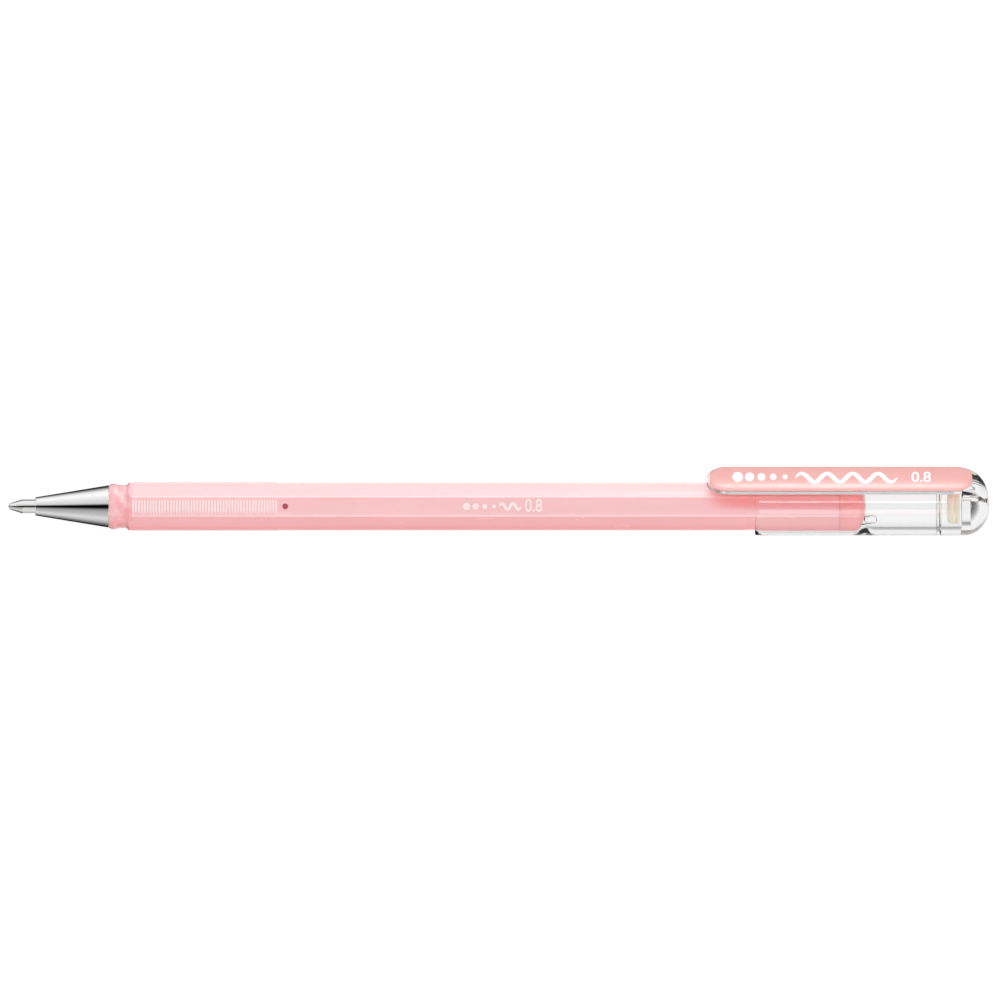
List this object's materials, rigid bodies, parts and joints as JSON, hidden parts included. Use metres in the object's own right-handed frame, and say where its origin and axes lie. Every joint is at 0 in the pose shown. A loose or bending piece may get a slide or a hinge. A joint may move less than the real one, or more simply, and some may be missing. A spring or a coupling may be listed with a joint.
{
  "type": "gel pen",
  "caption": "Octagonal pink gel pen with a metal nose cone and a clear clip cap posted on its tail; the cap, clip, nose, refill and writing ball all move.",
  "frame": {"origin": "at mid-length, on the pen's plane of symmetry, at the height of the cap's underside", "axes": "+X from the writing ball to the cap's crown, +Z towards the clip, +Y to the left seen from the tip"},
  "size_m": [0.1618, 0.0096, 0.0115],
  "materials": {
    "milky_pink": "glossy milky translucent pink moulded plastic",
    "plug_pink": "glossy pink moulded plastic",
    "inlay_pink": "glossy pink plate under clear lacquer",
    "clear_plastic": "polished water-clear moulded plastic",
    "seal_elastomer": "matt beige elastomer",
    "nose_chrome": "bright plated turned metal",
    "tip_steel": "turned steel",
    "ball_carbide": "polished hard metal",
    "holder_plastic": "natural white moulded plastic",
    "tube_plastic": "translucent extruded tube",
    "ink": "opaque pastel gel ink",
    "follower_grease": "clear grease plug"
  },
  "bodies": {
    "barrel": {"barrel": "milky_pink", "tail_plug": "plug_pink"},
    "refill": {"point_tip": "tip_steel", "tip_holder": "holder_plastic", "ink_tube": "tube_plastic", "ink_gel": "ink"},
    "nose": {"nose_cone": "nose_chrome"},
    "writing_ball": {"writing_ball": "ball_carbide"},
    "check_ball": {"check_ball": "tip_steel"},
    "ink_follower": {"ink_follower": "follower_grease"},
    "cap": {"cap_tube": "clear_plastic", "cap_crown": "clear_plastic", "cap_seal": "seal_elastomer"},
    "clip": {"clip_arm": "clear_plastic", "clip_inlay": "inlay_pink"}
  },
  "joints": [
    {"name": "cap_pull", "type": "slide", "parent": "barrel", "child": "cap", "axis": [1, 0, 0], "range_m": [0, 0.03]},
    {"name": "clip_flex", "type": "hinge", "parent": "cap", "child": "clip", "pos_m": [0.07819, 0, 0.0111], "axis": [0, 1, 0], "range_deg": [0, 4], "stiffness_Nm_per_rad": 0.5},
    {"name": "refill_draw", "type": "slide", "parent": "barrel", "child": "refill", "axis": [-1, 0, 0], "range_m": [0, 0.003]},
    {"name": "nose_unscrew", "type": "hinge", "parent": "refill", "child": "nose", "pos_m": [-0.06431, 0, 0.00479], "axis": [-1, 0, 0], "range_deg": [0, 1440.1]},
    {"name": "ball_roll", "type": "hinge", "parent": "refill", "child": "writing_ball", "pos_m": [-0.08052, 0, 0.00479], "axis": [0, 1, 0], "continuous": true},
    {"name": "check_ball_float", "type": "slide", "parent": "refill", "child": "check_ball", "axis": [-1, 0, 0], "range_m": [-0.0006, 0.0006]},
    {"name": "ink_follower_travel", "type": "slide", "parent": "refill", "child": "ink_follower", "axis": [-1, 0, 0], "range_m": [0, 0.08], "deforming": ["ink_gel"]}
  ],
  "couplings": [
    {"joint": "nose_unscrew", "follows": "refill_draw", "rad_per_m": 8377.6}
  ]
}
